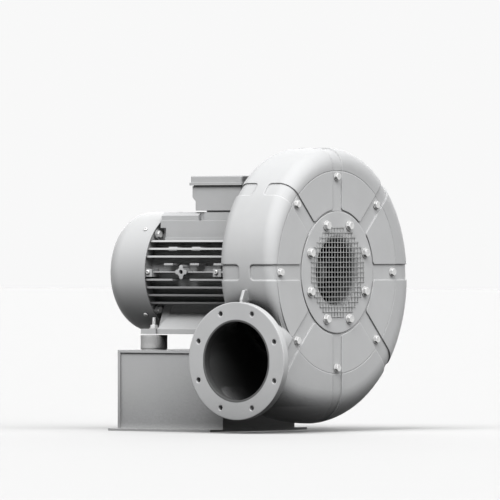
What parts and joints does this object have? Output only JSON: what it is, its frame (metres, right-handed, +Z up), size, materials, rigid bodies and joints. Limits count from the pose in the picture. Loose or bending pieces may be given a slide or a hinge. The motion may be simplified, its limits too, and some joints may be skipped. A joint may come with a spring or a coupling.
{
  "type": "high pressure fan",
  "caption": "Direct driven radial fan with a cast spiral casing, round side outlet flange and guarded inlet, on a foot mounted motor with rubber buffers and a steel console.",
  "frame": {"origin": "on the floor, at the centre of the four floor holes of the console", "axes": "+X along the shaft from the motor to the inlet, -Y out of the outlet flange, +Z up"},
  "size_m": [0.7005, 0.6737, 0.7298],
  "materials": {
    "bare_steel": "ground steel",
    "black_plastic": "glass filled black plastic",
    "buffer_rubber": "grey natural rubber",
    "casing_paint": "light grey sprayed paint on sand cast aluminium, satin",
    "console_paint": "grey powder coat on welded sheet steel",
    "copper_winding": "varnished copper windings",
    "core_steel": "varnished electrical sheet",
    "cover_paint": "light grey sprayed paint on a machined casting, satin",
    "cowl_paint": "grey paint on deep drawn sheet steel, satin",
    "fan_plastic": "black moulded plastic",
    "gasket_fibre": "dark sealing sheet",
    "guard_wire": "hot dip galvanised wire",
    "motor_paint": "grey paint on die cast aluminium, satin",
    "terminal_brass": "brass",
    "wheel_aluminium": "bare sheet aluminium, lightly brushed",
    "zinc_fastener": "bright zinc plate"
  },
  "bodies": {
    "root": {"buffer_lower_studs": "zinc_fastener", "buffer_upper_studs": "zinc_fastener", "console_casing_end": "console_paint", "console_far_side": "console_paint", "console_motor_end": "console_paint", "console_nuts": "zinc_fastener", "console_outlet_side": "console_paint", "console_top": "console_paint", "console_washers": "zinc_fastener", "cover_bolts": "zinc_fastener", "cover_gasket": "gasket_fibre", "cowl_screws": "zinc_fastener", "drive_bearing_outer_ring": "bare_steel", "drive_shield": "motor_paint", "entry_plugs": "black_plastic", "fan_bearing_outer_ring": "bare_steel", "fan_cowl": "cowl_paint", "fan_shield": "motor_paint", "far_side_foot": "motor_paint", "flange_bolts": "zinc_fastener", "foot_nuts": "zinc_fastener", "foot_washers": "zinc_fastener", "front_cover": "cover_paint", "guard_mesh": "guard_wire", "inlet_bolts": "zinc_fastener", "inlet_ring": "cover_paint", "inlet_washers": "zinc_fastener", "lid_gasket": "gasket_fibre", "lid_screws": "zinc_fastener", "lug_screws": "zinc_fastener", "motor_frame": "motor_paint", "outlet_side_foot": "motor_paint", "preload_washer": "bare_steel", "rubber_buffers": "buffer_rubber", "shaft_seal": "gasket_fibre", "shield_screws": "zinc_fastener", "stator_core": "core_steel", "terminal_board": "black_plastic", "terminal_box": "motor_paint", "terminal_lid": "motor_paint", "terminal_studs": "terminal_brass", "volute_casing": "casing_paint", "windings": "copper_winding"},
    "rotor": {"cooling_fan": "fan_plastic", "drive_bearing_inner_ring": "bare_steel", "fan_bearing_inner_ring": "bare_steel", "impeller_backplate": "wheel_aluminium", "impeller_blades": "wheel_aluminium", "impeller_hub": "wheel_aluminium", "impeller_rivets": "wheel_aluminium", "impeller_screw": "zinc_fastener", "impeller_shroud": "wheel_aluminium", "impeller_washer": "zinc_fastener", "rotor_core": "core_steel", "rotor_end_rings": "wheel_aluminium", "shaft": "bare_steel", "shaft_key": "bare_steel"},
    "drive_bearing_cage": {"drive_bearing_balls": "bare_steel"},
    "fan_bearing_cage": {"fan_bearing_balls": "bare_steel"}
  },
  "joints": [
    {"name": "rotor_spin", "type": "hinge", "parent": "root", "child": "rotor", "pos_m": [0.2, 0, 0.41], "axis": [1, 0, 0], "continuous": true},
    {"name": "drive_bearing_orbit", "type": "hinge", "parent": "root", "child": "drive_bearing_cage", "pos_m": [0.2185, 0, 0.41], "axis": [1, 0, 0], "continuous": true},
    {"name": "fan_bearing_orbit", "type": "hinge", "parent": "root", "child": "fan_bearing_cage", "pos_m": [-0.0975, 0, 0.41], "axis": [1, 0, 0], "continuous": true}
  ],
  "couplings": [
    {"joint": "drive_bearing_orbit", "follows": "rotor_spin", "ratio": 0.3828},
    {"joint": "fan_bearing_orbit", "follows": "rotor_spin", "ratio": 0.3828}
  ]
}
